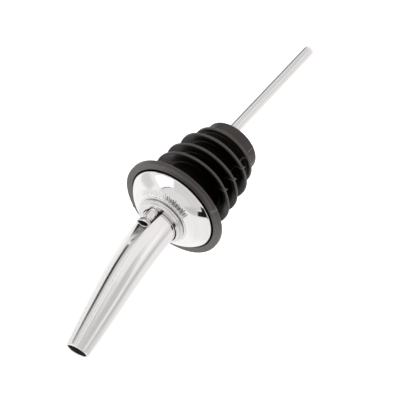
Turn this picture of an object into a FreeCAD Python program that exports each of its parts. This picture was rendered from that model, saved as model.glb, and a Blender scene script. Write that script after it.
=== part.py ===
import FreeCAD, Part
import math
import os

from FreeCAD import Vector

# Liquor pour spout: a bent, tapered steel spout with a long breather tube, on a finned rubber stopper.
# Frame: +Z runs along the stopper's axis, from the bottle out to the spout. The spout bends towards +X.
# The breather tube stands on the -X side. The origin is the centre of the flange's underside, where
# the stopper seats on the rim of the bottle. All sizes are in millimetres.

# ---- driving dimensions ----
FLANGE_R = 16.0
FLANGE_THICK = 1.7
CORE_R = 8.45                  # the stopper's plain core, and its plain lower end
STOPPER_END_Z = -28.3
FINS = [(12.7, -8.0), (12.3, -12.7), (11.6, -18.2), (10.0, -23.1)]     # rim radius, rim height
FIN_RIM_THICK = 0.9
FIN_ROOT_THICK = 1.7
FIN_DROP = 0.5                 # how far a fin falls away from the flange, per mm from rim to core
STOPPER_BORE_R = 6.25
FLASH_AZIMUTH = 103.0          # degrees, the mould's parting plane, which leaves a tab on every rim
FLASH_REACH = 0.8
FLASH_THICK = 0.35

SLEEVE_R = 6.2                 # 0.05 mm of running clearance in the stopper's bore
SHEET = 0.4                    # wall of the sleeve and of the spout
SLEEVE_LOW_Z = -27.3
SLEEVE_TOP_Z = 5.4

WASHER_R = 12.4
WASHER_THICK = 0.4

DISC_R = 13.5
DISC_SHEET = 0.5
DISC_RIM_TOP = 0.5             # height of the disc's rim above the flange
DISC_LAND_R = 8.0              # flat land on top of the dome that carries the collar
DISC_LAND_Z = 6.2
DISC_HOLE_R = 7.05
DOME_BULGE = 0.5               # how far the dome's curve stands out from a straight cone

COLLAR_HOLE_R = 6.3
COLLAR_LIP_R = 6.9
COLLAR_STEP_R = 7.4
COLLAR_STEP_Z = 7.55
COLLAR_TOP_Z = 8.3
COLLAR_SKIRT_R = 7.0
COLLAR_SKIRT_LOW_Z = 4.8

SPOUT_X = 0.55                 # the spout's base stands this far off the stopper's axis
SPOUT_BEND_Z = 3.0             # the bend starts at this height
SPOUT_BEND_LENGTH = 28.4
SPOUT_BEND = 17.3              # degrees
SPOUT_STRAIGHT = 20.9
SPOUT_BASE_R = 5.55
SPOUT_TIP_R = 3.42
SPOUT_TAPER_POWER = 2.2
OUTLET_R = 2.9                 # the mouth's inside is a true bore for a short length
OUTLET_LENGTH = 2.0

BREATHER_X = -4.0
BREATHER_R = 1.6
BREATHER_BORE_R = 1.2
BREATHER_LOW_Z = -70.6
BREATHER_TOP_Z = 13.9
PINCH_LENGTH = 2.6             # the tube's last stretch, which is pressed to a wide oval mouth
PINCH_SHIFT_X = -0.5           # the mouth leans away from the spout
PINCH_HALF_X = 1.35
PINCH_HALF_Y = 2.05
PINCH_STEPS = 4
BREATHER_POINTS = 16

DENT_DEPTH = 2.95              # the spout's back is pressed in so that the breather tube nests in it
DENT_WIDTH = 33.0              # degrees, the spread of the dent's bell curve round the spout
DENT_FULL_Z = 14.2             # the dent is at full depth up to here
DENT_END_Z = 22.0
SECTION_POINTS = 32
SECTION_STEP = 3.0


def rounded_profile(corners):
    """Closed face in the XZ plane from (radius, height, corner rounding) points."""
    points = [Vector(r, 0, z) for r, z, _ in corners]
    edges = []
    starts, ends, middles = [], [], []
    count = len(corners)
    for i, (_, _, rounding) in enumerate(corners):
        before = (points[i - 1] - points[i]).normalize()
        after = (points[(i + 1) % count] - points[i]).normalize()
        half = before.getAngle(after) / 2
        cut = rounding / math.tan(half)
        starts.append(points[i] + before * cut)
        ends.append(points[i] + after * cut)
        bisector = (before + after).normalize()
        middles.append(points[i] + bisector * (rounding / math.sin(half) - rounding))
    for i, (_, _, rounding) in enumerate(corners):
        if rounding > 0:
            edges.append(Part.Arc(starts[i], middles[i], ends[i]).toShape())
        edges.append(Part.makeLine(ends[i], starts[(i + 1) % count]))
    return Part.Face(Part.Wire(edges))


def turned(face):
    """Solid of revolution about the stopper's axis."""
    solid = face.revolve(Vector(0, 0, 0), Vector(0, 0, 1), 360)
    return solid.Solids[0] if solid.Solids else solid


def closed_curve(points):
    """Smooth closed curve through points."""
    curve = Part.BSplineCurve()
    curve.interpolate(Points=points, PeriodicFlag=True)
    return Part.Wire(curve.toShape())


def ring(inner, outer, low, high, rounding=0.0):
    """Flat or tubular ring about the stopper's axis, with rounded corners."""
    return turned(rounded_profile([
        (inner, low, rounding), (outer, low, rounding), (outer, high, rounding), (inner, high, rounding)]))


def make_stopper():
    """One rubber moulding: flange, core, four umbrella fins that point back to the flange, and bore."""
    corners = [
        (STOPPER_BORE_R, FLANGE_THICK, 0.0),
        (STOPPER_BORE_R, STOPPER_END_Z, 0.3),
        (CORE_R, STOPPER_END_Z, 0.8)]
    for rim_r, rim_z in reversed(FINS):
        root_z = rim_z - FIN_DROP * (rim_r - CORE_R)
        corners += [
            (CORE_R, root_z - FIN_ROOT_THICK / 2, 0.3),
            (rim_r, rim_z - FIN_RIM_THICK / 2, FIN_RIM_THICK * 0.4),
            (rim_r, rim_z + FIN_RIM_THICK / 2, FIN_RIM_THICK * 0.3),
            (CORE_R, root_z + FIN_ROOT_THICK / 2, 0.3)]
    corners += [
        (CORE_R, 0.0, 0.8),
        (FLANGE_R, 0.0, 0.3),
        (FLANGE_R, FLANGE_THICK, 0.4)]
    stopper = turned(rounded_profile(corners))
    for rim_r, rim_z in FINS + [(FLANGE_R, FLANGE_THICK / 2)]:
        reach = rim_r + FLASH_REACH
        tab = Part.makeBox(2 * reach, FLASH_THICK, FIN_RIM_THICK * 0.6,
                           Vector(-reach, -FLASH_THICK / 2, rim_z - FIN_RIM_THICK * 0.3))
        tab = tab.cut(Part.makeCylinder(rim_r - 0.5, 40, Vector(0, 0, -35)))
        tab.rotate(Vector(0, 0, 0), Vector(0, 0, 1), FLASH_AZIMUTH)
        stopper = stopper.fuse(tab)
    return stopper.Solids[0]


def make_inlet_sleeve():
    """Straight thin tube through the stopper's bore. The stopper grips it."""
    return ring(SLEEVE_R - SHEET, SLEEVE_R, SLEEVE_LOW_Z, SLEEVE_TOP_Z)


def make_backing_washer():
    """Flat washer under the dome, on the stopper's front face."""
    return ring(SLEEVE_R + 0.05, WASHER_R, FLANGE_THICK, FLANGE_THICK + WASHER_THICK)


def make_cover_disc():
    """Pressed dome with a flat land round its hole and a short upright rim."""
    rim_z = FLANGE_THICK + DISC_RIM_TOP
    rim, land = Vector(DISC_R, 0, rim_z), Vector(DISC_LAND_R, 0, DISC_LAND_Z)
    across = (land - rim).normalize()
    out = Vector(across.z, 0, -across.x)
    middle = (rim + land) * 0.5 + out * DOME_BULGE
    down = out * -DISC_SHEET
    foot = Vector(DISC_R, 0, FLANGE_THICK)
    inner_foot = Vector(DISC_R - DISC_SHEET, 0, FLANGE_THICK)
    inner_rim = Vector(DISC_R - DISC_SHEET, 0, rim_z - DISC_SHEET * 0.5)
    inner_land = land + Vector(-DISC_SHEET * 0.35, 0, -DISC_SHEET)
    hole_top = Vector(DISC_HOLE_R, 0, DISC_LAND_Z)
    hole_low = hole_top + Vector(0, 0, -DISC_SHEET)
    edges = [
        Part.makeLine(foot, rim),
        Part.Arc(rim, middle, land).toShape(),
        Part.makeLine(land, hole_top),
        Part.makeLine(hole_top, hole_low),
        Part.makeLine(hole_low, inner_land),
        Part.Arc(inner_land, middle + down, inner_rim).toShape(),
        Part.makeLine(inner_rim, inner_foot),
        Part.makeLine(inner_foot, foot)]
    return turned(Part.Face(Part.Wire(edges)))


def make_collar():
    """Stepped ring that joins the sleeve and the spout and sits on the dome's land."""
    return turned(rounded_profile([
        (COLLAR_HOLE_R, COLLAR_SKIRT_LOW_Z, 0.0),
        (COLLAR_SKIRT_R, COLLAR_SKIRT_LOW_Z, 0.2),
        (COLLAR_SKIRT_R, DISC_LAND_Z, 0.0),
        (COLLAR_STEP_R, DISC_LAND_Z, 0.0),
        (COLLAR_STEP_R, COLLAR_STEP_Z, 0.25),
        (COLLAR_LIP_R, COLLAR_STEP_Z, 0.15),
        (COLLAR_LIP_R, COLLAR_TOP_Z, 0.3),
        (COLLAR_HOLE_R, COLLAR_TOP_Z, 0.15)]))


def spout_station(s):
    """Centre and direction of the spout's centre line at a distance s from where its bend starts."""
    turn = math.radians(SPOUT_BEND)
    bend_r = SPOUT_BEND_LENGTH / turn
    angle = turn * max(0.0, min(1.0, s / SPOUT_BEND_LENGTH))
    along = Vector(math.sin(angle), 0, math.cos(angle))
    centre = Vector(SPOUT_X + bend_r * (1 - math.cos(angle)), 0, SPOUT_BEND_Z + bend_r * math.sin(angle))
    beyond = s - bend_r * angle
    return centre + along * beyond, along


SPOUT_LENGTH = SPOUT_BEND_LENGTH + SPOUT_STRAIGHT


def spout_section(s, inset):
    """Closed curve across the spout at distance s, moved in from its outer surface by inset."""
    centre, along = spout_station(s)
    across = Vector(along.z, 0, -along.x)
    radius = SPOUT_BASE_R - (SPOUT_BASE_R - SPOUT_TIP_R) * (max(s, 0) / SPOUT_LENGTH) ** SPOUT_TAPER_POWER
    fade = max(0.0, min(1.0, (DENT_END_Z - centre.z) / (DENT_END_Z - DENT_FULL_Z)))
    depth = DENT_DEPTH * fade * fade * (3 - 2 * fade)

    def outline(angle):
        off_back = math.degrees(abs(math.atan2(math.sin(angle - math.pi), math.cos(angle - math.pi))))
        reach = radius - depth * math.exp(-(off_back / DENT_WIDTH) ** 2)
        return reach * math.cos(angle), reach * math.sin(angle)

    points = []
    for i in range(SECTION_POINTS):
        angle = 2 * math.pi * i / SECTION_POINTS
        x, y = outline(angle)
        ahead, behind = outline(angle + 0.01), outline(angle - 0.01)
        tangent = Vector(ahead[0] - behind[0], ahead[1] - behind[1], 0).normalize()
        x -= tangent.y * inset
        y += tangent.x * inset
        points.append(centre + across * x + Vector(0, y, 0))
    return closed_curve(points)


def spout_loft(start, end, inset):
    steps = math.ceil((end - start) / SECTION_STEP)
    stations = [start + (end - start) * i / steps for i in range(steps + 1)]
    return Part.makeLoft([spout_section(s, inset) for s in stations], True, False)


def make_pour_spout():
    """Thin tapered tube, bent forward, dented along its back for the breather tube."""
    start = SLEEVE_TOP_Z - SPOUT_BEND_Z
    inside_end = SPOUT_LENGTH - OUTLET_LENGTH
    tube = spout_loft(start, SPOUT_LENGTH, 0.0).cut(spout_loft(start, inside_end, SHEET))
    tip, along = spout_station(SPOUT_LENGTH)
    reamer = Part.makeCylinder(OUTLET_R, OUTLET_LENGTH + 1, tip - along * OUTLET_LENGTH, along)
    base = Part.makeBox(40, 40, 10, Vector(-20, -20, SLEEVE_TOP_Z - 10))
    return tube.cut(reamer).cut(base).Solids[0]


def breather_section(inset, z):
    """Closed curve round the breather tube at height z: round below the pinch, oval at the mouth."""
    share = max(0.0, (z - BREATHER_TOP_Z) / PINCH_LENGTH + 1)
    ease = share * share * (3 - 2 * share)
    half_x = BREATHER_R + (PINCH_HALF_X - BREATHER_R) * ease - inset
    half_y = BREATHER_R + (PINCH_HALF_Y - BREATHER_R) * ease - inset
    points = []
    for i in range(BREATHER_POINTS):
        angle = 2 * math.pi * i / BREATHER_POINTS
        centre_x = BREATHER_X + PINCH_SHIFT_X * ease
        points.append(Vector(centre_x + half_x * math.cos(angle), half_y * math.sin(angle), z))
    return closed_curve(points)


def breather_body(inset):
    """Solid inside the tube's outer surface, or inside its bore when inset is the wall."""
    pinch_z = BREATHER_TOP_Z - PINCH_LENGTH
    foot = Part.Face(breather_section(inset, BREATHER_LOW_Z))
    straight = foot.extrude(Vector(0, 0, pinch_z - BREATHER_LOW_Z))
    heights = [pinch_z + PINCH_LENGTH * i / PINCH_STEPS for i in range(PINCH_STEPS + 1)]
    return straight, Part.makeLoft([breather_section(inset, z) for z in heights], True, False)


def make_breather_tube():
    """Straight tube along the sleeve, open at both ends, its top end pinched to an oval mouth."""
    straight, mouth = breather_body(0.0)
    straight_bore, mouth_bore = breather_body(BREATHER_R - BREATHER_BORE_R)
    return straight.cut(straight_bore).fuse(mouth.cut(mouth_bore)).Solids[0]


PARTS = {
    "stopper": make_stopper,
    "backing_washer": make_backing_washer,
    "inlet_sleeve": make_inlet_sleeve,
    "cover_disc": make_cover_disc,
    "collar": make_collar,
    "pour_spout": make_pour_spout,
    "breather_tube": make_breather_tube}

os.makedirs("parts", exist_ok=True)
for name, make in PARTS.items():
    shape = make()
    shape.exportStep("parts/" + name + ".step")
    box = shape.BoundBox
    print(name, shape.ShapeType, shape.isValid(), "volume", round(shape.Volume, 1),
          "x", round(box.XMin, 2), round(box.XMax, 2), "z", round(box.ZMin, 2), round(box.ZMax, 2))
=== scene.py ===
import math

import bpy
import numpy as np
from mathutils import Matrix, Vector


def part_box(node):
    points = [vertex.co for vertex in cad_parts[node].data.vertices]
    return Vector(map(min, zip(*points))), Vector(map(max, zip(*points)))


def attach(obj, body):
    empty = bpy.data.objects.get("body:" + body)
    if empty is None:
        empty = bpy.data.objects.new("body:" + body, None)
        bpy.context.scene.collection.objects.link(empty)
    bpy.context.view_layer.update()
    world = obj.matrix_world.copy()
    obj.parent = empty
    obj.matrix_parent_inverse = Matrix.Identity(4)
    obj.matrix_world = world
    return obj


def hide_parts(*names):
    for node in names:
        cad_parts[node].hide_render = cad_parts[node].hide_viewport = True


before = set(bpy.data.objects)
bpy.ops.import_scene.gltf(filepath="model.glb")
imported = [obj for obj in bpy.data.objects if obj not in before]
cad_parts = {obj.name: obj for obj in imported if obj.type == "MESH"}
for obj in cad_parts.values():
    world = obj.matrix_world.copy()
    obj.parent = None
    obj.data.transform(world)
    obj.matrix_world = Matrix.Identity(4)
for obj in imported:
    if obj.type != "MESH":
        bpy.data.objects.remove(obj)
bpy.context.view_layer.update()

# Looks of the liquor pour spout. Frame: +Z along the stopper's axis towards the spout, the spout
# bends to +X, the breather tube stands on -X, and the origin is the centre of the flange's
# underside. Sizes below are in millimetres and pass through MM on their way into a mesh.
MM = 0.001


# ---- the camera ----

CAMERA_PLACE = Vector((-342.2, 329.8, 302.4))
CAMERA_TARGET = Vector((1.78, 8.20, -3.86))
CAMERA_ROLL = 137.17           # degrees from level
CAMERA_LENS = 173.08
SENSOR_WIDTH = 36.0


def make_camera():
    data = bpy.data.cameras.new("camera")
    data.lens = CAMERA_LENS
    data.sensor_width = SENSOR_WIDTH
    data.clip_start, data.clip_end = 0.01, 20.0
    camera = bpy.data.objects.new("camera", data)
    bpy.context.scene.collection.objects.link(camera)
    back = (CAMERA_PLACE - CAMERA_TARGET).normalized()
    level_right = Vector((0, 0, 1)).cross(back).normalized()
    roll = Matrix.Rotation(math.radians(-CAMERA_ROLL), 3, back)
    right = roll @ level_right
    up = back.cross(right)
    turn = Matrix((right, up, back)).transposed().to_4x4()
    camera.matrix_world = Matrix.Translation(CAMERA_PLACE * MM) @ turn
    bpy.context.scene.camera = camera


# ---- meshes ----

def smoothstep(low, high, value):
    share = np.clip((np.asarray(value, float) - low) / (high - low), 0.0, 1.0)
    return share * share * (3 - 2 * share)


def closed_shell(name, rings, body, replaced, material, marks=None):
    """A piece from rings[ring][column] points in mm, closed round each ring and from last to first.
    Its UV map counts mm round the rings and across them."""
    ring_count, column_count, _ = rings.shape
    index = np.arange(ring_count * column_count).reshape(ring_count, column_count)
    right = np.roll(index, -1, axis=1)
    above = np.roll(index, -1, axis=0)
    across = np.roll(right, -1, axis=0)
    faces = np.stack([index, right, across, above], axis=-1).reshape(-1, 4)
    mesh = bpy.data.meshes.new(name)
    mesh.from_pydata((rings.reshape(-1, 3) * MM).tolist(), [], faces.tolist())

    step_u = np.linalg.norm(rings - np.roll(rings, -1, axis=1), axis=-1).mean(axis=0)
    step_v = np.linalg.norm(rings - np.roll(rings, -1, axis=0), axis=-1).max(axis=1)
    u = np.concatenate([[0.0], np.cumsum(step_u)])
    v = np.concatenate([[0.0], np.cumsum(step_v)])
    corners = np.empty((ring_count, column_count, 4, 2))
    corners[:, :, 0, 0] = corners[:, :, 3, 0] = u[:-1]
    corners[:, :, 1, 0] = corners[:, :, 2, 0] = u[1:]
    corners[:, :, 0, 1] = corners[:, :, 1, 1] = v[:-1, None]
    corners[:, :, 2, 1] = corners[:, :, 3, 1] = v[1:, None]
    mesh.uv_layers.new(name="lengths").data.foreach_set("uv", corners.ravel())
    if marks is not None:
        mesh.attributes.new("marks", "FLOAT", "POINT").data.foreach_set("value", marks.ravel())
    mesh.shade_smooth()
    mesh.update()

    piece = bpy.data.objects.new(name, mesh)
    bpy.context.scene.collection.objects.link(piece)
    piece.data.materials.append(material)
    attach(piece, body)
    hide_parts(*replaced)
    return piece


def corner_arms(points, i):
    """Unit vectors from corner i to the corners before and after it, and half the angle between."""
    here, before, after = points[i], points[i - 1], points[(i + 1) % len(points)]
    to_before = (before - here) / np.linalg.norm(before - here)
    to_after = (after - here) / np.linalg.norm(after - here)
    return to_before, to_after, math.acos(np.clip(to_before @ to_after, -1, 1)) / 2


def rounded_outline(corners, step):
    """Closed outline of (radius, height) points, from (radius, height, rounding) corners."""
    points = np.array([corner[:2] for corner in corners], float)
    outline = []
    for i, (_, _, rounding) in enumerate(corners):
        to_before, to_after, half = corner_arms(points, i)
        cut = rounding / math.tan(half)
        start, end = points[i] + to_before * cut, points[i] + to_after * cut
        if rounding:
            middle = to_before + to_after
            centre = points[i] + middle / np.linalg.norm(middle) * rounding / math.sin(half)
            turns = max(2, round((math.pi - 2 * half) * rounding / (step * 0.5)))
            for share in np.arange(turns + 1) / turns:
                out = start * (1 - share) + end * share - centre
                outline.append(centre + out / np.linalg.norm(out) * rounding)
        else:
            outline.append(start)
        following = (i + 1) % len(corners)
        back, _, half = corner_arms(points, following)
        target = points[following] + back * (corners[following][2] / math.tan(half))
        pieces = max(1, round(np.linalg.norm(target - end) / step))
        for k in range(1, pieces):
            outline.append(end + (target - end) * k / pieces)
    return np.array(outline)


def turned(outline, angles):
    """Rings of points from a (radius, height) outline and the columns' angles in radians."""
    radius, height = outline[:, 0:1], outline[:, 1:2]
    along = [radius * np.cos(angles), radius * np.sin(angles), height + 0 * angles]
    return np.stack(along, axis=-1)


# ---- materials ----

GRAIN_SHADE = 0.90             # what is left of the steel's tint in the dark lines of its grain
# the steel's dark marks: dirt, painted shade in hollows, gaps and the tubes' insides, and other
# darker patches
GRIME_AND_SHADE_TONE = (0.06, 0.055, 0.05, 1.0)
GRIME_AND_SHADE_CURVE = 1.8              # a faint mark stays close to the clean steel's colour
GRIME_AND_SHADE_ROUGHNESS = 0.9
GRIME_AND_SHADE_METALLIC = 0.35
RUBBER_TONE = (0.009, 0.007, 0.006, 1.0)
BLOOM_TONE = (0.020, 0.016, 0.014, 1.0)
# painted shade in the hollows
HOLLOW_SHADE_TONE = (0.0015, 0.0012, 0.001, 1.0)
# painted highlights, and the flash's own paler rubber
HIGHLIGHT_AND_FLASH_TONE = (0.125, 0.114, 0.107, 1.0)
PLAIN = 0.5                    # the rubber's mark where it has neither painted highlight nor painted shade


def new_material(name):
    material = bpy.data.materials.new(name)
    material.use_nodes = True
    tree = material.node_tree
    return material, tree, tree.nodes["Principled BSDF"]


def add_node(tree, kind, inputs=None, **settings):
    """New node with its settings; an input is a value or another node's output socket."""
    made = tree.nodes.new(kind)
    for key, value in settings.items():
        setattr(made, key, value)
    for key, value in (inputs or {}).items():
        if isinstance(value, bpy.types.NodeSocket):
            tree.links.new(value, made.inputs[key])
        else:
            made.inputs[key].default_value = value
    return made


def math_node(tree, operation, *values):
    return add_node(tree, "ShaderNodeMath", dict(enumerate(values)), operation=operation).outputs[0]


def mapped(tree, value, from_low, from_high, to_low, to_high, kind="LINEAR"):
    return add_node(tree, "ShaderNodeMapRange", {
        "Value": value, "From Min": from_low, "From Max": from_high,
        "To Min": to_low, "To Max": to_high}, interpolation_type=kind).outputs["Result"]


def mixed_colour(tree, share, first, second):
    inputs = {0: share, 6: first, 7: second}
    return add_node(tree, "ShaderNodeMix", inputs, data_type="RGBA").outputs[2]


def mesh_marks(tree):
    return add_node(tree, "ShaderNodeAttribute", attribute_name="marks").outputs["Fac"]


def noise(tree, vector, scale, detail=2.0, roughness=0.5, stretch=(1, 1, 1)):
    """Noise at so many cells per unit of vector, stretched along its axes."""
    moved = add_node(tree, "ShaderNodeMapping", {"Vector": vector, "Scale": stretch})
    return add_node(tree, "ShaderNodeTexNoise", {
        "Vector": moved.outputs["Vector"], "Scale": scale, "Detail": detail,
        "Roughness": roughness}).outputs["Fac"]


def bumped(tree, shader, layers):
    """Stacks (height socket, distance in mm) layers of bump on the shader's normal."""
    normal = None
    for height, distance in layers:
        inputs = {"Height": height, "Distance": distance * MM, "Strength": 1.0}
        if normal is not None:
            inputs["Normal"] = normal
        normal = add_node(tree, "ShaderNodeBump", inputs).outputs["Normal"]
    tree.links.new(normal, shader.inputs["Normal"])


def make_steel(name, tint, roughness, grain_stretch, grain_depth, wave_depth, marks=False):
    """Polished steel: fine drawn or turned lines, a faint hand-polished waviness and specks of
    lower gloss.
    With marks it turns rough and dark where the mesh's marks rise to 1: dirt, painted shade, and
    other darker patches."""
    material, tree, shader = new_material(name)
    uv = add_node(tree, "ShaderNodeTexCoord").outputs["UV"]
    place = add_node(tree, "ShaderNodeTexCoord").outputs["Object"]
    grain = noise(tree, uv, 1.0, 4.0, 0.6, grain_stretch)
    wave = noise(tree, place, 180.0, 1.0)
    cloud = noise(tree, place, 420.0, 3.0, 0.6)
    shader.inputs["Metallic"].default_value = 1.0
    shaded = (*[channel * GRAIN_SHADE for channel in tint], 1.0)
    colour = mixed_colour(tree, mapped(tree, grain, 0.3, 0.7, 0.0, 1.0), shaded, (*tint, 1.0))
    uneven = math_node(tree, "ADD", grain, cloud)
    rough = mapped(tree, uneven, 0.7, 1.3, roughness * 0.75, roughness * 1.35)
    if marks:
        # the marks paint dirt, shade in hollows, gaps and the tubes' insides, and other darker
        # patches
        depth = mesh_marks(tree)
        darkening = math_node(tree, "POWER", depth, GRIME_AND_SHADE_CURVE)
        colour = mixed_colour(tree, darkening, colour, GRIME_AND_SHADE_TONE)
        rough = math_node(tree, "ADD", rough, math_node(tree, "MULTIPLY", depth, GRIME_AND_SHADE_ROUGHNESS))
        metallic = mapped(tree, depth, 0.0, 0.5, 1.0, GRIME_AND_SHADE_METALLIC)
        tree.links.new(metallic, shader.inputs["Metallic"])
    tree.links.new(colour, shader.inputs["Base Color"])
    tree.links.new(rough, shader.inputs["Roughness"])
    bumped(tree, shader, [(wave, wave_depth), (grain, grain_depth)])
    return material


def make_rubber(name):
    """Black moulded rubber: faint dusty bloom, uneven gloss and a fine skin. By the mesh's marks it
    is painted black, with its gloss taken away, as shade in the hollows at 1, plain at PLAIN, and
    painted pale at 0, as highlights and as the flash's own paler rubber."""
    material, tree, shader = new_material(name)
    place = add_node(tree, "ShaderNodeTexCoord").outputs["Object"]
    bloom = noise(tree, place, 260.0, 4.0, 0.6)
    skin = noise(tree, place, 5200.0, 3.0, 0.65)
    patches = noise(tree, place, 900.0, 3.0, 0.6)
    state = mesh_marks(tree)
    hollow_shade = mapped(tree, state, PLAIN, 1.0, 0.0, 1.0)
    highlight_and_pale_flash = mapped(tree, state, PLAIN, 0.0, 0.0, 1.0)
    bloom_share = mapped(tree, bloom, 0.35, 0.7, 0.0, 1.0)
    colour = mixed_colour(tree, bloom_share, RUBBER_TONE, BLOOM_TONE)
    # painted shade darkens towards black; painted highlight and pale flash lighten towards the pale
    # tone
    colour = mixed_colour(tree, hollow_shade, colour, HOLLOW_SHADE_TONE)
    colour = mixed_colour(tree, highlight_and_pale_flash, colour, HIGHLIGHT_AND_FLASH_TONE)
    # the painted shade also takes the gloss out of the hollows
    specular = mapped(tree, hollow_shade, 0.0, 1.0, 0.72, 0.03)
    tree.links.new(colour, shader.inputs["Base Color"])
    tree.links.new(mapped(tree, patches, 0.3, 0.7, 0.32, 0.46), shader.inputs["Roughness"])
    tree.links.new(specular, shader.inputs["Specular IOR Level"])
    shader.inputs["Specular Tint"].default_value = (1.0, 0.89, 0.84, 1.0)
    bumped(tree, shader, [(patches, 0.06), (skin, 0.02)])
    return material


BLACK_RUBBER = make_rubber("black_rubber")
SPOUT_STEEL = make_steel(
    "spout_steel", (0.93, 0.905, 0.897), 0.11, (3.2, 0.035, 1), 0.010, 0.03, marks=True)
TUBE_STEEL = make_steel(
    "tube_steel", (0.91, 0.885, 0.877), 0.14, (4.0, 0.05, 1), 0.010, 0.02, marks=True)
DISC_STEEL = make_steel(
    "disc_steel", (0.93, 0.912, 0.905), 0.06, (0.03, 2.5, 1), 0.002, 0.025, marks=True)
COLLAR_STEEL = make_steel(
    "collar_steel", (0.80, 0.78, 0.768), 0.15, (0.03, 3.5, 1), 0.004, 0.02, marks=True)
SLEEVE_STEEL = make_steel(
    "sleeve_steel", (0.62, 0.62, 0.62), 0.28, (0.05, 0.05, 1), 0.004, 0.02)


# ---- the stopper ----

DISC_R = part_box("cover_disc")[1].x / MM
FLANGE_R = 16.0
FLANGE_THICK = 1.7
CORE_R = 8.45
OUTSIDE_R = CORE_R - 0.3       # points beyond this radius aren't in the bore
STOPPER_LOW_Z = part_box("stopper")[0].z / MM
STOPPER_BORE_R = 6.25
STOPPER_COLUMNS = 300
FINS = [(12.7, -8.0), (12.3, -12.7), (11.6, -18.2), (10.0, -23.1)]     # rim radius, rim height
FIN_RIM_THICK = 0.9
FIN_ROOT_THICK = 1.9
FIN_DROP = 0.5                 # how far a fin falls away from the flange, per mm from rim to core
FIN_BAND = 1.4                 # points this close to a fin's middle surface are its own
FIN_WAVE_SPREAD = 3.5          # a fin's waviness sets in over this distance from the core
SEAT_R = 13.95                 # the disc's edge lies in a shallow recess in the flange's face
SEAT_DEPTH = 0.28
ON_FLANGE_Z = -1.0             # the flange's points are above this height
FACE_LOW_Z = FLANGE_THICK - 0.1

PARTING_AZIMUTH = 103.0        # degrees, where the mould's two halves met
PARTING_CLEAR = 3.2            # degrees on each side of it that have columns of their own
PARTING_COLUMNS = np.array([
    -2.6, -1.9, -1.4, -1.0, -0.7, -0.45, -0.2, 0.0, 0.2, 0.45, 0.7, 1.0, 1.4, 1.9, 2.6])
FLASH_HEIGHT = 0.24            # the thin ridge of flash that the mould left
FLASH_WIDTH = 1.3              # degrees
FLANGE_FLASH_HEIGHT = 0.15     # on the flange the ridge is no higher than this
UNDERSIDE_FLASH = 0.35         # share of the ridge's height on surfaces that look down
LOOKS_DOWN = -0.3              # a surface looks down if its normal's height is below this
TAB_REACH = 0.85               # how far the flash stands out at each fin's rim
FLANGE_TAB_REACH = 0.55
TAB_DEPTH, TAB_HALF_HEIGHT = 0.35, 0.45

ENVELOPE_Z = [-30.0, -24.5, -23.1, -18.2, -12.7, -8.0, 0.0]      # the outline over the fins' rims
ENVELOPE_R = [8.45, 8.45, 10.0, 11.6, 12.3, 12.7, 16.0]
HOLLOW_FROM, HOLLOW_TO = 0.25, 2.2         # painted shade: the rubber turns black over this depth inside it
FLASH_PALE_FROM, FLASH_PALE_TO = 1.0, 4.5  # and the pale flash fades out over this depth
GREY_HOLLOW_AZIMUTH = 225.0    # degrees; the painted shade in the hollows is lighter round here, on the side the light falls on
GREY_HOLLOW_SPREAD = 50.0
GREY_HOLLOW_SHARE = 0.55
FACE_DARK_AZIMUTH = 132.0      # degrees; round here the flange gets the most painted shade and the least painted highlight
FACE_DARK_SPREAD = 52.0
FACE_HIGHLIGHT, FACE_HIGHLIGHT_CUT = 0.72, 0.9           # strength of the face's painted highlight, and the share of it taken away round there
# painted highlights on the flange's corner and side, with the share taken away round
# FACE_DARK_AZIMUTH, and on the fins' rims
CORNER_HIGHLIGHT, CORNER_HIGHLIGHT_CUT = 1.0, 0.62
SIDE_HIGHLIGHT, SIDE_HIGHLIGHT_CUT = 0.6, 0.95
RIM_HIGHLIGHT = 0.30
FACE_SHADE = 0.60


def stopper_outline():
    corners = [
        (STOPPER_BORE_R, FLANGE_THICK, 0.05),
        (STOPPER_BORE_R, STOPPER_LOW_Z, 0.3),
        (CORE_R, STOPPER_LOW_Z, 0.7)]
    for rim_r, rim_z in reversed(FINS):
        root_z = rim_z - FIN_DROP * (rim_r - CORE_R)
        corners += [
            (CORE_R, root_z - FIN_ROOT_THICK / 2, 0.35),
            (rim_r, rim_z - FIN_RIM_THICK / 2, FIN_RIM_THICK * 0.42),
            (rim_r, rim_z + FIN_RIM_THICK / 2, FIN_RIM_THICK * 0.30),
            (CORE_R, root_z + FIN_ROOT_THICK / 2, 0.35)]
    corners += [
        (CORE_R, 0.0, 0.8),
        (FLANGE_R, 0.0, 0.3),
        (FLANGE_R, FLANGE_THICK, 0.28),
        (SEAT_R, FLANGE_THICK, 0.08),
        (SEAT_R - 0.08, FLANGE_THICK - SEAT_DEPTH, 0.05),
        (DISC_R - 0.3, FLANGE_THICK - SEAT_DEPTH, 0.05),
        (DISC_R - 0.4, FLANGE_THICK - 0.01, 0.05),
        (STOPPER_BORE_R + 0.3, FLANGE_THICK - 0.01, 0.0)]
    return rounded_outline(corners, 0.25)


def stopper_columns():
    """Column angles in degrees, even all round and crowded at both sides of the parting line."""
    even = np.arange(STOPPER_COLUMNS) * 360.0 / STOPPER_COLUMNS
    lines = np.array([PARTING_AZIMUTH, PARTING_AZIMUTH + 180])
    gap = np.abs((even[:, None] - lines + 180) % 360 - 180).min(axis=1)
    crowded = [line + PARTING_COLUMNS for line in lines]
    return np.sort(np.concatenate([even[gap > PARTING_CLEAR], *crowded]) % 360)


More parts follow.
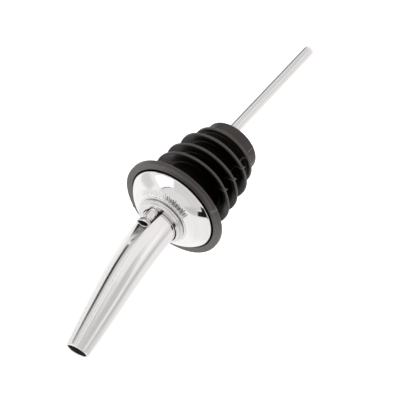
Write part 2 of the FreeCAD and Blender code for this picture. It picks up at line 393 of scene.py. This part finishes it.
def fin_waves(radius, height, angles):
    """How far each point is lifted and pushed out, as a moulded fin's rim isn't quite true."""
    share = np.clip((radius - CORE_R) / FIN_WAVE_SPREAD, 0, 1) ** 2
    lift = np.zeros((len(radius), len(angles)))
    push = np.zeros_like(lift)
    for i, (rim_r, rim_z) in enumerate(FINS):
        middle = rim_z - FIN_DROP * (rim_r - radius)
        near = share * (np.abs(height - middle) < FIN_BAND)
        lift += near * (0.10 * np.sin(2 * angles + 1.1 * i) + 0.05 * np.sin(5 * angles + 2.3 * i))
        push += near * (0.07 * np.sin(3 * angles + 1.7 * i) + 0.03 * np.sin(7 * angles + 0.9 * i))
    return lift, push


def flash_swell(radius, height, ridge, down):
    """How far the ragged flash stands off the surface."""
    ragged = 1 + 0.35 * np.sin(height * 9.0) * np.sin(height * 3.7 + radius * 5.0)
    swell = ridge * FLASH_HEIGHT * ragged
    on_flange = height > ON_FLANGE_Z
    swell = np.where(on_flange, np.minimum(swell, FLANGE_FLASH_HEIGHT), swell)
    return swell * np.where(down, UNDERSIDE_FLASH, 1.0)


def tab_reach(radius, height):
    """How far the flash reaches out of the rims of the fins and the flange."""
    tab = np.zeros_like(radius)
    for rim_r, rim_z in FINS + [(FLANGE_R, FLANGE_THICK / 2)]:
        inward, upward = (rim_r - radius) / TAB_DEPTH, (height - rim_z) / TAB_HALF_HEIGHT
        tab = np.maximum(tab, np.exp(-inward ** 2 - upward ** 4))
    return tab * np.where(height > ON_FLANGE_Z, FLANGE_TAB_REACH, TAB_REACH)


def rubber_marks(radius, height, degrees, pale_flash):
    """1 as painted shade in the hollows between the fins, in the disc's seat and on part of the
    flange's face; towards 0 as painted highlight on edges and faces, and on the flash, which is
    also its own paler rubber.
    """
    all_round = 0 * degrees
    inward = np.interp(height, ENVELOPE_Z, ENVELOPE_R) - radius
    on_face = (height > FACE_LOW_Z) & (radius > SEAT_R)
    least_lit = np.exp(-((degrees - FACE_DARK_AZIMUTH) / FACE_DARK_SPREAD) ** 2)

    # painted shade: black in the hollows, lighter on the lit side, in the disc's seat, and on the
    # flange's face round FACE_DARK_AZIMUTH
    lit_side = np.exp(-((degrees - GREY_HOLLOW_AZIMUTH) / GREY_HOLLOW_SPREAD) ** 2)
    hollow_shade = smoothstep(HOLLOW_FROM, HOLLOW_TO, inward) * (height < -0.05) * (radius > OUTSIDE_R)
    hollow_shade = hollow_shade * (1 - GREY_HOLLOW_SHARE * lit_side)
    seat = (radius > 12.5) & (radius < SEAT_R + 0.05) & (height > 1.0)
    seat = seat & (height < FLANGE_THICK - 0.12)
    shade = FACE_SHADE * least_lit * on_face * (radius < FLANGE_R - 0.5)
    black = np.maximum.reduce([hollow_shade, seat + all_round, shade])

    # painted highlights on the flange's face, corner and side and on the fins' rims, less round
    # FACE_DARK_AZIMUTH; the flash is partly its own paler rubber and partly painted highlight
    face = FACE_HIGHLIGHT * on_face * (1 - FACE_HIGHLIGHT_CUT * least_lit)
    corner = CORNER_HIGHLIGHT * np.exp(-((FLANGE_R - 0.15 - radius) / 0.2) ** 2)
    corner = corner * (np.abs(height - FLANGE_THICK / 2) > 0.55) * (1 - CORNER_HIGHLIGHT_CUT * least_lit)
    side = SIDE_HIGHLIGHT * (radius > FLANGE_R - 0.05) * (1 - SIDE_HIGHLIGHT_CUT * least_lit)
    rims = np.zeros_like(radius)
    for rim_r, rim_z in FINS:
        edge = np.exp(-((rim_r - radius) / 0.22) ** 2) * (np.abs(height - rim_z) < 1)
        rims = np.maximum(rims, RIM_HIGHLIGHT * edge)
    flash = pale_flash * (1 - smoothstep(FLASH_PALE_FROM, FLASH_PALE_TO, inward))
    highlight_and_pale_flash = np.maximum.reduce([face, corner, side, rims + all_round, flash])
    return PLAIN + (1 - PLAIN) * black * (1 - highlight_and_pale_flash) - PLAIN * highlight_and_pale_flash


def make_stopper():
    outline = stopper_outline()
    degrees = stopper_columns()
    angles = np.radians(degrees)
    radius, height = outline[:, 0:1], outline[:, 1:2]
    tangent = np.roll(outline, -1, axis=0) - np.roll(outline, 1, axis=0)
    tangent /= np.linalg.norm(tangent, axis=1, keepdims=True)
    out_r, out_z = tangent[:, 1:2], -tangent[:, 0:1]
    down = out_z < LOOKS_DOWN

    # the flash runs over everything but the bore and the flange's face
    off = np.abs((degrees - PARTING_AZIMUTH + 90) % 180 - 90)
    front = (height > FLANGE_THICK - SEAT_DEPTH - 0.05) & (radius < FLANGE_R - 1.0)
    ridge = np.exp(-(off / FLASH_WIDTH) ** 2)
    bare_ridge = ridge * (radius > OUTSIDE_R) * (1 - front)
    swell = flash_swell(radius, height, bare_ridge, down)

    lift, push = fin_waves(radius, height, angles)
    new_radius = radius + push + swell * out_r + ridge * tab_reach(radius, height)
    rings = turned(outline, angles)
    rings[..., 0] = new_radius * np.cos(angles)
    rings[..., 1] = new_radius * np.sin(angles)
    rings[..., 2] = height + lift + swell * out_z * 0.6
    marks = rubber_marks(radius, height, degrees, bare_ridge * ~down)
    return closed_shell(
        "rubber_stopper", rings, "stopper", ["stopper"], BLACK_RUBBER, marks=marks)


# ---- the cover disc ----

DISC_LOW_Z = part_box("cover_disc")[0].z / MM
DISC_SHEET = 0.5
DISC_RIM_TOP = 0.5
DISC_LAND_R = 8.0
DISC_LAND_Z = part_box("cover_disc")[1].z / MM
DISC_HOLE_R = 7.05
DISC_EDGE = 0.10               # the small roundings of its edges
DOME_BULGE = 0.5
DOME_POINTS = 84
DISC_COLUMNS = 1080
SAG = 0.02                     # pressed sheet isn't perfectly even

MARK_R = 9.0                   # ring of plain stamped bars on the dome
MARK_HALF_HEIGHT = 0.85
MARK_START, MARK_END = 108.0, 218.0        # degrees
MARK_PITCH = 4.1                           # degrees
MARK_DEPTH = 0.10
MARK_SLANT = 0.22
# share of the full length and half width of each bar
MARK_PATTERN = [(0.9, 0.14), (0.5, 0.27), (1.0, 0.17), (0.7, 0.23), (0.35, 0.28)]
MARK_GRIMY_TO = 162.0          # degrees; grime fills the bars up to here
MARK_GRIME, MARK_MORE_GRIME = 0.25, 0.60
DARK_PATCH = 0.80                  # a darker, duller patch over the grimy bars
DARK_PATCH_AZIMUTH, DARK_PATCH_SPREAD = 132.0, 22.0
DARK_PATCH_R, DARK_PATCH_HALF_WIDTH = 8.9, 0.8


def arc_through(start, middle, end, count):
    """Points on the arc through three points."""
    to_middle, to_end = (middle - start) * 2, (end - start) * 2
    rows = np.array([to_middle, to_end])
    centre = np.linalg.solve(rows, [middle @ middle - start @ start, end @ end - start @ start])
    first = math.atan2(start[1] - centre[1], start[0] - centre[0])
    last = math.atan2(end[1] - centre[1], end[0] - centre[0])
    radius = np.linalg.norm(start - centre)
    turn = np.linspace(first, last, count)
    return centre + radius * np.stack([np.cos(turn), np.sin(turn)], axis=1)


def disc_outline():
    """The (radius, height) points of the disc's upper side and of its underside."""
    rim = np.array([DISC_R, DISC_LOW_Z + DISC_RIM_TOP])
    land = np.array([DISC_LAND_R, DISC_LAND_Z])
    across = (land - rim) / np.linalg.norm(land - rim)
    out = np.array([across[1], -across[0]])
    dome = arc_through(rim, (rim + land) / 2 + out * DOME_BULGE, land, DOME_POINTS)
    inside = dome - out * DISC_SHEET
    above = np.concatenate([
        [(DISC_R - 0.05, DISC_LOW_Z), (DISC_R, DISC_LOW_Z + 0.05), (DISC_R, DISC_LOW_Z + 0.2),
         rim - (0, DISC_EDGE), rim - (DISC_EDGE * 0.25, DISC_EDGE * 0.3)],
        dome[3:],
        [(DISC_LAND_R - 0.3, DISC_LAND_Z), (DISC_HOLE_R + DISC_EDGE, DISC_LAND_Z),
         (DISC_HOLE_R, DISC_LAND_Z - DISC_EDGE), (DISC_HOLE_R, DISC_LAND_Z - DISC_SHEET)]])
    below = np.concatenate([
        inside[::-6],
        [(DISC_R - DISC_SHEET, DISC_LOW_Z + 0.1), (DISC_R - DISC_SHEET, DISC_LOW_Z)]])
    return above, below


def stamped_bars(radius, degrees):
    """1 inside the bars, one to a cell in a plain repeating pattern, and 0 outside them."""
    number = np.floor((degrees - MARK_START) / MARK_PITCH)
    pattern = np.array(MARK_PATTERN)[number.astype(int) % len(MARK_PATTERN)]
    up = (radius - MARK_R) + 0 * degrees
    off_middle = degrees - MARK_START - (number + 0.5) * MARK_PITCH
    along = np.radians(off_middle) * radius - MARK_SLANT * up
    beyond = np.maximum(np.abs(up) - MARK_HALF_HEIGHT * pattern[:, 0], 0)
    away = np.hypot(along, beyond) - pattern[:, 1]
    stamped = (degrees > MARK_START) & (degrees < MARK_END)
    return (1 - smoothstep(-0.06, 0.08, away)) * stamped


def make_cover_disc():
    above, below = disc_outline()
    outline = np.concatenate([above, below])
    degrees = np.arange(DISC_COLUMNS) * 360.0 / DISC_COLUMNS
    angles = np.radians(degrees)
    radius, height = outline[:, 0:1], outline[:, 1:2]
    is_above = np.arange(len(outline))[:, None] < len(above)
    on_dome = is_above & (height > DISC_LOW_Z + DISC_RIM_TOP)

    bars = stamped_bars(radius, degrees) * on_dome
    darkening = 1 - smoothstep(MARK_GRIMY_TO - 8, MARK_GRIMY_TO + 6, degrees)
    dark_patch = np.exp(-((degrees - DARK_PATCH_AZIMUTH) / DARK_PATCH_SPREAD) ** 4) * (
        1 + 0.2 * np.sin(degrees * 0.9))
    dark_patch = DARK_PATCH * dark_patch * np.exp(-((radius - DARK_PATCH_R) / DARK_PATCH_HALF_WIDTH) ** 4) * on_dome
    bar_grime_and_dark_patch = np.maximum(bars * (MARK_GRIME + MARK_MORE_GRIME * darkening), dark_patch)

    sag = SAG * np.sin(3 * angles + 0.4) * on_dome
    sag = sag * smoothstep(8.0, 10.5, radius) * (1 - smoothstep(12.2, 13.4, radius))
    rings = turned(outline, angles)
    rings[..., 2] += sag - MARK_DEPTH * bars
    return closed_shell(
        "cover_disc_pressed", rings, "pourer", ["cover_disc"], DISC_STEEL,
        marks=bar_grime_and_dark_patch)


# ---- the pour spout ----

SPOUT_X = 0.55
SPOUT_BEND_Z = 3.0
SPOUT_BEND_LENGTH = 28.4
SPOUT_BEND = math.radians(17.3)
SPOUT_STRAIGHT = 20.9
SPOUT_LENGTH = SPOUT_BEND_LENGTH + SPOUT_STRAIGHT
SPOUT_BASE_R = 5.55
SPOUT_TIP_R = 3.42
SPOUT_TAPER_POWER = 2.2
SPOUT_WALL = 0.4
SPOUT_LOW_Z = 5.4
OUTLET_R = 2.9
OUTLET_LENGTH = 2.0
LIP_LENGTH = 0.25              # the mouth's edge is rounded over this length

EVEN_TO = 150.0                # degrees from +X; the columns are even up to here
# beyond it they crowd at the seam and at the groove's crease, as shares of the way to the crease
CROWDED_COLUMNS = np.array([
    0, .12, .24, .31, .335, .35, .364, .378, .393, .42, .5, .62, .74, .84, .91, .95, .98, 1.0])
GROOVE_TURN = np.linspace(math.pi / 2, -math.pi / 2, 37)[1:-1]   # the points across the groove

GROOVE_LOW_Z = 7.6             # the groove for the breather tube narrows from here to its end
GROOVE_FULL_Z = 14.0           # it is at full depth up to here
GROOVE_END_Z = 20.8
GROOVE_HALF_WIDTH = 2.6
GROOVE_LEAST_HALF_WIDTH = 0.12
GROOVE_FLOOR_X = -2.3
GROOVE_DULL = 0.26             # it is duller and darker up to the height below
GROOVE_DARK_END_Z = 18.2
GROOVE_DARK_FADE = 2.5
CREVICE_SHADE = 0.9             # painted shade: it is black beside the breather tube, up to CREVICE_END_Z
CREVICE_END_Z = 13.6
CREVICE_FADE = 1.4
MOUTH_DULL = 0.10              # it turns duller and darker between these heights, towards the mouth
MOUTH_DULL_LOW_Z, MOUTH_DULL_HIGH_Z = 36.0, 51.0
SEAM_ANGLE = 160.0             # degrees from +X, the tube's closed seam
SEAM_DEPTH = 0.05
SEAM_LOW_Z, SEAM_FULL_Z = 19, 24


def spout_stations(s):
    """Centre x and z, and the direction's x and z, at distances s from where the bend starts."""
    bend_r = SPOUT_BEND_LENGTH / SPOUT_BEND
    angle = SPOUT_BEND * np.clip(s / SPOUT_BEND_LENGTH, 0, 1)
    beyond = s - bend_r * angle
    x = SPOUT_X + bend_r * (1 - np.cos(angle)) + beyond * np.sin(angle)
    z = SPOUT_BEND_Z + bend_r * np.sin(angle) + beyond * np.cos(angle)
    return x, z, np.sin(angle), np.cos(angle)


def spout_radius(s):
    share = max(s, 0) / SPOUT_LENGTH
    return SPOUT_BASE_R - (SPOUT_BASE_R - SPOUT_TIP_R) * share ** SPOUT_TAPER_POWER


def spout_columns(half_angle):
    """Angles in degrees from +X of one side's columns, up to a crease half_angle off the back."""
    even = np.linspace(0, EVEN_TO, 51)[:-1]
    return np.concatenate([even, EVEN_TO + (180 - EVEN_TO - half_angle) * CROWDED_COLUMNS])


def spout_ring(s, wall):
    """Points round the spout at distance s; wall is how far they lie inside its outer surface."""
    cx, cz, dx, dz = spout_stations(np.float64(s))
    radius = spout_radius(s)
    risen = np.clip((cz - GROOVE_LOW_Z) / (GROOVE_END_Z - GROOVE_LOW_Z), 0, 1)
    half_width = max(GROOVE_HALF_WIDTH * (1 - risen) ** 0.6, GROOVE_LEAST_HALF_WIDTH)
    fade = 1 - smoothstep(GROOVE_FULL_Z, GROOVE_END_Z, cz)
    depth = max(radius - cx + GROOVE_FLOOR_X, 0.0) * float(fade)
    side = np.radians(spout_columns(math.degrees(math.asin(half_width / radius))))
    inner = radius - wall

    at_seam = 1 - smoothstep(0.15, 0.9, np.abs(np.degrees(side) - SEAM_ANGLE))
    seam = at_seam * float(smoothstep(SEAM_LOW_Z, SEAM_FULL_Z, cz))
    broken = 0.6 + 0.4 * math.sin(s * 2.9) * math.sin(s * 7.3 + 1.0)
    reach = inner - SEAM_DEPTH * seam * broken
    free_x, free_y = reach * np.cos(side), reach * np.sin(side)
    groove_y = half_width * inner / radius * np.sin(GROOVE_TURN)
    groove_x = -np.sqrt(inner ** 2 - groove_y ** 2) + depth * np.cos(GROOVE_TURN)
    x = np.concatenate([free_x, groove_x, free_x[:0:-1]])
    y = np.concatenate([free_y, groove_y, -free_y[:0:-1]])
    return np.stack([cx + x * dz, y, cz - x * dx], axis=-1)


def make_pour_spout():
    start, lip_start = SPOUT_LOW_Z - SPOUT_BEND_Z, SPOUT_LENGTH - LIP_LENGTH
    lower, upper = np.linspace(start, 20, 72), np.linspace(20, lip_start, 66)[1:]
    rings = [spout_ring(s, 0.0) for s in (*lower, *upper)]
    outside = len(rings)
    lip = SPOUT_TIP_R - OUTLET_R
    for k in range(1, 8):
        turn = math.pi * k / 8
        s = lip_start + LIP_LENGTH * math.sin(turn)
        rings.append(spout_ring(s, lip * (1 - math.cos(turn)) / 2))
    lip_end = len(rings)
    for s in np.linspace(lip_start, SPOUT_LENGTH - OUTLET_LENGTH, 6):
        rings.append(spout_ring(s, spout_radius(s) - OUTLET_R))
    for s in np.linspace(SPOUT_LENGTH - OUTLET_LENGTH - 0.4, start, 70):
        rings.append(spout_ring(s, SPOUT_WALL))
    rings = np.array(rings)

    # painted shade: black inside the spout and beside the breather tube; duller and darker in the
    # groove and towards the mouth
    level = rings[:outside, 0, 2][:, None]
    shade_and_dulling = np.zeros(rings.shape[:2])
    shade_and_dulling[:outside] = MOUTH_DULL * smoothstep(MOUTH_DULL_LOW_Z, MOUTH_DULL_HIGH_Z, level)
    shade_and_dulling[lip_end:] = 1.0
    across = np.cos(GROOVE_TURN) ** 0.3
    groove_dark = 1 - smoothstep(GROOVE_DARK_END_Z - GROOVE_DARK_FADE, GROOVE_DARK_END_Z, level)
    crevice = 1 - smoothstep(CREVICE_END_Z - CREVICE_FADE, CREVICE_END_Z, level)
    first = (rings.shape[1] - len(across) + 1) // 2
    shade_and_dulling[:outside, first:first + len(across)] = across * np.maximum(
        GROOVE_DULL * groove_dark, CREVICE_SHADE * crevice)
    return closed_shell(
        "bent_pour_spout", rings, "pourer", ["pour_spout"], SPOUT_STEEL,
        marks=shade_and_dulling)


# ---- the breather tube ----

TUBE_X = -4.0
TUBE_R = 1.6
TUBE_WALL = 0.4
TUBE_LOW_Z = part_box("breather_tube")[0].z / MM
TUBE_TOP_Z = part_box("breather_tube")[1].z / MM
TUBE_COLUMNS = 72
TUBE_EDGE = 0.12               # its ends' edges are rounded over this length
MOUTH_LENGTH = 2.6             # the stretch over which it is pressed towards its lens-shaped mouth
MOUTH_SHIFT_X = -0.9
MOUTH_FRONT, MOUTH_BACK, MOUTH_SIDE = 1.0, 1.72, 2.15
CRIMP_BELOW = 1.9              # a crease across the tube below its mouth
CRIMP_DEPTH = 0.16
CRIMP_HALF_HEIGHT = 0.22


def tube_ring(z, wall):
    """Points round the breather tube at height z; wall is how far inside its outer surface."""
    angle = np.arange(TUBE_COLUMNS) * 2 * math.pi / TUBE_COLUMNS
    ease = float(smoothstep(TUBE_TOP_Z - MOUTH_LENGTH, TUBE_TOP_Z, z))
    away = np.cos(angle) < 0
    front = TUBE_R + (MOUTH_FRONT - TUBE_R) * ease
    back = TUBE_R + (MOUTH_BACK - TUBE_R) * ease
    side = TUBE_R + (MOUTH_SIDE - TUBE_R) * ease - wall
    crimp = CRIMP_DEPTH * np.exp(-((z - TUBE_TOP_Z + CRIMP_BELOW) / CRIMP_HALF_HEIGHT) ** 2)
    crimp = crimp * smoothstep(-0.2, 0.8, -np.cos(angle + 0.5))
    reach_x = np.where(away, front, back) - wall - crimp
    x = TUBE_X + MOUTH_SHIFT_X * ease + reach_x * np.cos(angle)
    return np.stack([x, (side - crimp * 0.5) * np.sin(angle), z + 0 * angle], axis=-1)


def make_breather_tube():
    heights = np.concatenate([
        np.linspace(TUBE_LOW_Z + TUBE_EDGE, TUBE_TOP_Z - 4.0, 60),
        np.linspace(TUBE_TOP_Z - 3.9, TUBE_TOP_Z - TUBE_EDGE, 40)])
    turns = math.pi * np.arange(1, 6) / 6
    rings = [tube_ring(z, 0.0) for z in heights]
    for turn in turns:
        z = TUBE_TOP_Z - TUBE_EDGE + TUBE_EDGE * math.sin(turn)
        rings.append(tube_ring(z, TUBE_WALL * (1 - math.cos(turn)) / 2))
    mouth_end = len(rings)
    rings += [tube_ring(z, TUBE_WALL) for z in heights[::-1]]
    inside_end = len(rings)
    for turn in turns:
        z = TUBE_LOW_Z + TUBE_EDGE - TUBE_EDGE * math.sin(turn)
        rings.append(tube_ring(z, TUBE_WALL * (1 + math.cos(turn)) / 2))
    rings = np.array(rings)
    shade_and_dulling = np.zeros(rings.shape[:2])
    # painted shade: black inside the tube
    shade_and_dulling[mouth_end + 2:inside_end - 1] = 1.0
    return closed_shell(
        "long_breather_tube", rings, "pourer", ["breather_tube"], TUBE_STEEL,
        marks=shade_and_dulling)


# ---- the collar ----

COLLAR_HOLE_R = 6.3
COLLAR_LOW_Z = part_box("collar")[0].z / MM
COLLAR_TOP_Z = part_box("collar")[1].z / MM
COLLAR_COLUMNS = 240
COLLAR_NECK_R = 7.0            # the skirt's radius, and the turned groove's
COLLAR_LIP_BELOW = 0.74        # the crease under the lip lies this far below the top
COLLAR_TIGHT_R = 6.75          # inside this radius the collar's face closes in on the spout
COLLAR_GAP = 0.22
COLLAR_TUBE_GAP = 0.12
COLLAR_HOLE_SPREAD = 0.25      # the fitted hole is wider than COLLAR_HOLE_R by this at most


def collar_outline():
    return rounded_outline([
        (COLLAR_HOLE_R, COLLAR_LOW_Z, 0.05),
        (COLLAR_NECK_R, COLLAR_LOW_Z, 0.2),
        (COLLAR_NECK_R, DISC_LAND_Z + 0.02, 0.0),
        (7.95, DISC_LAND_Z + 0.02, 0.03),
        (7.88, DISC_LAND_Z + 0.20, 0.08),
        (7.40, DISC_LAND_Z + 0.34, 0.06),
        (COLLAR_NECK_R, DISC_LAND_Z + 0.38, 0.03),
        (COLLAR_NECK_R, DISC_LAND_Z + 0.62, 0.03),
        (7.42, DISC_LAND_Z + 0.66, 0.08),
        (7.40, COLLAR_TOP_Z - 0.82, 0.18),
        (7.02, COLLAR_TOP_Z - COLLAR_LIP_BELOW, 0.08),
        (6.92, COLLAR_TOP_Z, 0.28),
        (COLLAR_HOLE_R, COLLAR_TOP_Z, 0.10)], 0.12)


def reamed_hole(height, angles):
    """Radius of a close fit round the spout and the breather tube."""
    centre_x, _, _, _ = spout_stations(height - SPOUT_BEND_Z)
    spout_fit = SPOUT_BASE_R - 0.02 + COLLAR_GAP
    round_spout = np.sqrt(spout_fit ** 2 - (centre_x * np.sin(angles)) ** 2)
    round_spout = round_spout + centre_x * np.cos(angles)
    tube_fit = TUBE_R + COLLAR_TUBE_GAP
    inside = np.maximum(tube_fit ** 2 - (TUBE_X * np.sin(angles)) ** 2, 0.0)
    round_tube = TUBE_X * np.cos(angles) + np.sqrt(inside)
    round_tube = np.where((inside > 0) & (np.cos(angles) < 0), round_tube, 0.0)
    return np.maximum(round_spout, round_tube)


def collar_grime_and_shade(radius, height, angles):
    """Dirt and painted shade in the turned groove and in the crease under the lip, and painted
    shade in the gap round the spout.
    """
    near_neck = radius > 6.9
    groove = np.exp(-((height - DISC_LAND_Z - 0.5) / 0.16) ** 4) * (radius < 7.38) * near_neck
    crease = np.exp(-((height - COLLAR_TOP_Z + COLLAR_LIP_BELOW) / 0.10) ** 2)
    crease = 0.45 * crease * (radius < 7.3) * near_neck
    # the painted shade is strongest round 118 degrees
    uneven = 0.25 + 0.75 * np.exp(-((np.degrees(angles) - 118.0) / 45.0) ** 4)
    # painted shade in the gap round the spout, darker on the +Y side
    gap = (radius < COLLAR_HOLE_R + 0.03) & (height > SPOUT_LOW_Z)
    gap = gap & (height < COLLAR_TOP_Z - 0.12)
    gap = gap * (0.4 + 0.6 * (np.sin(angles) > -0.1))
    return np.clip((groove + crease) * uneven + gap, 0, 1)


def make_collar():
    outline = collar_outline()
    angles = np.arange(COLLAR_COLUMNS) * 2 * math.pi / COLLAR_COLUMNS
    radius, height = outline[:, 0:1], outline[:, 1:2]
    hole = np.minimum(reamed_hole(height, angles), COLLAR_HOLE_R + COLLAR_HOLE_SPREAD)
    share = np.clip((COLLAR_TIGHT_R - radius) / (COLLAR_TIGHT_R - COLLAR_HOLE_R), 0, 1)
    share = share * (height > SPOUT_LOW_Z - 0.3)
    tight = COLLAR_TIGHT_R + (hole - COLLAR_TIGHT_R) * share
    fitted = np.where(share > 0, tight, radius + 0 * angles)
    rings = turned(outline, angles)
    rings[..., 0] = fitted * np.cos(angles)
    rings[..., 1] = fitted * np.sin(angles)
    rings[..., 2] += 0.02 * np.sin(2 * angles + 0.8) * smoothstep(7.0, 8.0, height)
    return closed_shell(
        "joining_collar", rings, "pourer", ["collar"], COLLAR_STEEL,
        marks=collar_grime_and_shade(radius, height, angles))


# ---- the CAD pieces that stay ----

def dress_cad_nodes():
    for name in ("inlet_sleeve", "backing_washer"):
        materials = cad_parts[name].data.materials
        materials.clear()
        materials.append(SLEEVE_STEEL)


# ---- the studio ----

FLOOR_Z = -0.35                # metres, well below the pourer
FLOOR_HALF = 4.0
SOFTBOX_PLACE = Vector((0.15, 0.55, 0.75))
SOFTBOX_SIZE = (0.5, 0.35)
SOFTBOX_POWER = 1.2
ROOM_LEVEL = 0.93
# what the polished metal sees: azimuth and elevation of each soft card's middle, its half sizes
# and the softness of its edge, all in degrees, and its brightness
CARDS = [
    ("white_side", 300, 0, 52, 60, 12, 1.04),
    ("ceiling", 150, 74, 100, 18, 2, 0.80),
    ("ceiling_side", 128, 46, 52, 18, 2, 0.72),
    ("ceiling_corner", 68, 62, 15, 14, 8, 0.60),
    ("grey_wall", 257, 25, 12, 19, 6, 0.72),
    ("grey_front", 117, 2, 18, 15, 6, 0.62),
    ("grey_wing", 71, -18, 11, 13, 9, 0.57),
    ("grey_under", 200, 2, 9, 18, 6, 0.68),
    ("grey_mouth", 130, 13, 32, 7, 6, 0.60),
    ("grey_low_side", 38, -19, 20, 5, 5, 0.68),
    ("bright_strip", 104, -21, 8, 6, 4, 1.05),
    ("low_front", 165, -38, 34, 9, 6, 0.74),
    ("low_wing", 92, -38, 16, 9, 7, 0.76),
    ("low_side", 288, -38, 34, 9, 7, 0.80),
    ("low_back", 240, -38, 20, 9, 9, 0.20),
    ("dim_bend", 196, -15, 12, 4, 4, 0.52),
    ("window", 209, 43, 25, 13, 1.2, 1.35),
    ("window_sill", 214, 57.5, 20, 0.9, 0.8, 0.25),
    ("dark_flag", 216.5, -3, 9, 12, 5, 0.0),
    ("dark_corner", 70, 27, 15, 14, 1.2, 0.01),
    ("dark_corner_tip", 63, 43, 8, 7, 1.5, 0.01),
]


def card_mask(tree, direction, azimuth, elevation, half_width, half_height, softness):
    """1 inside a soft-edged patch of sky and 0 outside it."""
    split = add_node(tree, "ShaderNodeSeparateXYZ", {"Vector": direction}).outputs
    turn = math.radians(azimuth)
    along = math_node(tree, "ADD", math_node(tree, "MULTIPLY", split[0], math.cos(turn)),
                      math_node(tree, "MULTIPLY", split[1], math.sin(turn)))
    side = math_node(tree, "SUBTRACT", math_node(tree, "MULTIPLY", split[1], math.cos(turn)),
                     math_node(tree, "MULTIPLY", split[0], math.sin(turn)))
    off_side = math_node(tree, "ABSOLUTE", math_node(tree, "ARCTAN2", side, along))
    rise = math_node(tree, "ARCSINE", split[2])
    off_rise = math_node(tree, "SUBTRACT", rise, math.radians(elevation))
    off_rise = math_node(tree, "ABSOLUTE", off_rise)
    soft = math.radians(softness)
    masks = []
    for off, half in ((off_side, math.radians(half_width)), (off_rise, math.radians(half_height))):
        masks.append(mapped(tree, off, half - soft, half + soft, 1.0, 0.0, "SMOOTHSTEP"))
    return math_node(tree, "MULTIPLY", *masks)


def mixed_value(tree, share, first, second):
    return add_node(tree, "ShaderNodeMix", {0: share, 2: first, 3: second}, data_type="FLOAT")


def make_world():
    world = bpy.data.worlds.new("studio")
    bpy.context.scene.world = world
    world.use_nodes = True
    tree = world.node_tree
    direction = add_node(tree, "ShaderNodeTexCoord").outputs["Generated"]
    level = ROOM_LEVEL
    for name, azimuth, elevation, half_width, half_height, softness, brightness in CARDS:
        mask = card_mask(tree, direction, azimuth, elevation, half_width, half_height, softness)
        blend = mixed_value(tree, mask, level, brightness)
        blend.label = name
        level = blend.outputs[0]
    seen = add_node(tree, "ShaderNodeLightPath").outputs["Is Camera Ray"]
    level = mixed_value(tree, seen, level, 1.0).outputs[0]
    background = tree.nodes["Background"]
    tree.links.new(level, background.inputs["Strength"])
    background.inputs["Color"].default_value = (1, 1, 1, 1)


def make_floor():
    mesh = bpy.data.meshes.new("floor")
    signs = ((-1, -1), (1, -1), (1, 1), (-1, 1))
    corners = [(x * FLOOR_HALF, y * FLOOR_HALF, FLOOR_Z) for x, y in signs]
    mesh.from_pydata(corners, [], [(0, 1, 2, 3)])
    floor = bpy.data.objects.new("floor", mesh)
    bpy.context.scene.collection.objects.link(floor)
    material, _, shader = new_material("pale_floor")
    shader.inputs["Base Color"].default_value = (0.9, 0.9, 0.9, 1)
    shader.inputs["Emission Color"].default_value = (1, 1, 1, 1)
    shader.inputs["Emission Strength"].default_value = 0.6
    mesh.materials.append(material)
    floor.visible_glossy = False
    floor.visible_diffuse = False


def make_key_light():
    data = bpy.data.lights.new("softbox", "AREA")
    data.shape = "RECTANGLE"
    data.size, data.size_y = SOFTBOX_SIZE
    data.energy = SOFTBOX_POWER
    light = bpy.data.objects.new("softbox", data)
    light.location = SOFTBOX_PLACE
    light.rotation_mode = "QUATERNION"
    light.rotation_quaternion = SOFTBOX_PLACE.to_track_quat("Z", "Y")
    light.visible_camera = False
    light.visible_glossy = False
    bpy.context.scene.collection.objects.link(light)


make_camera()
make_stopper()
make_cover_disc()
make_collar()
make_pour_spout()
make_breather_tube()
dress_cad_nodes()
make_world()
make_floor()
make_key_light()
bpy.context.scene.view_settings.view_transform = "Standard"
